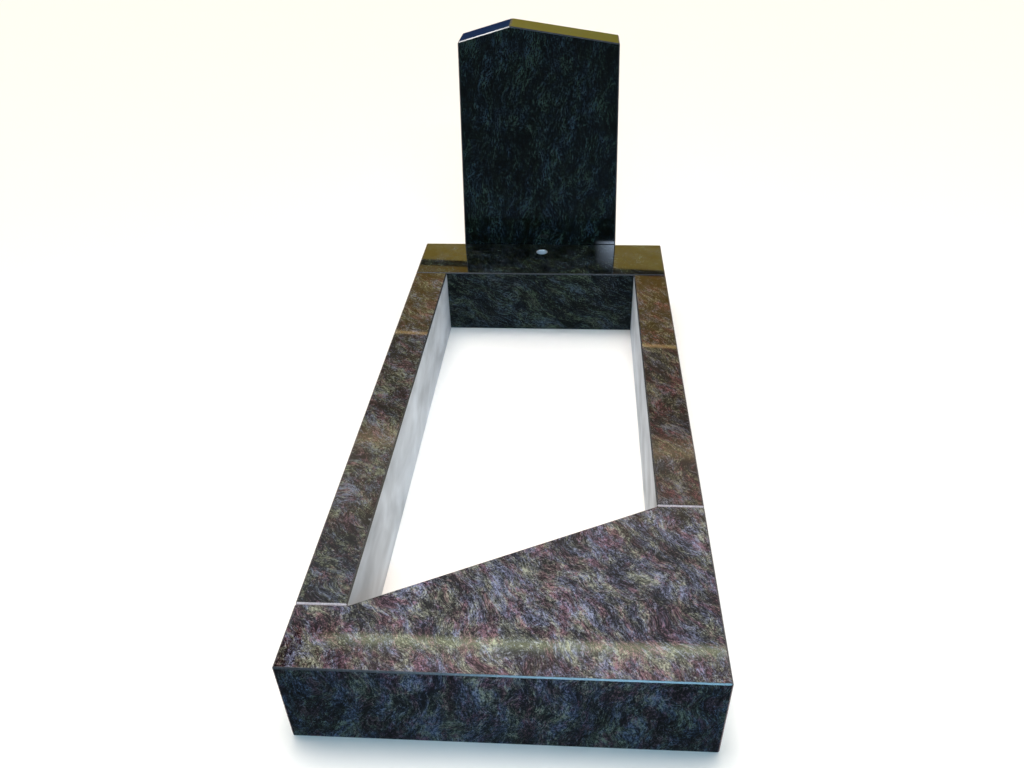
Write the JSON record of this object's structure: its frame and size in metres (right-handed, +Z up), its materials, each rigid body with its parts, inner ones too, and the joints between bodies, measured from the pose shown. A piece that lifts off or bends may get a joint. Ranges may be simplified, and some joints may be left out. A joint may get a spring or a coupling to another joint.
{
  "type": "kerbed memorial",
  "caption": "Polished granite grave surround with a level kerb frame, a wide front slab with a slanted inner edge, a drilled vase hole and an upright gabled headstone.",
  "frame": {"origin": "on the ground, at the middle of the whole memorial's box", "axes": "+Z up, +Y from the front slab towards the headstone, +X to the right as seen from the front"},
  "size_m": [0.8, 1.9204, 0.8766],
  "materials": {
    "headstone_granite": "polished dark granite",
    "frame_granite": "polished dark granite with pale and maroon wisps, the kerbs' inner faces sawn and pale grey"
  },
  "bodies": {
    "root": {"headstone": "headstone_granite", "head_base": "frame_granite", "left_kerb": "frame_granite", "right_kerb": "frame_granite", "front_slab": "frame_granite"}
  },
  "joints": []
}
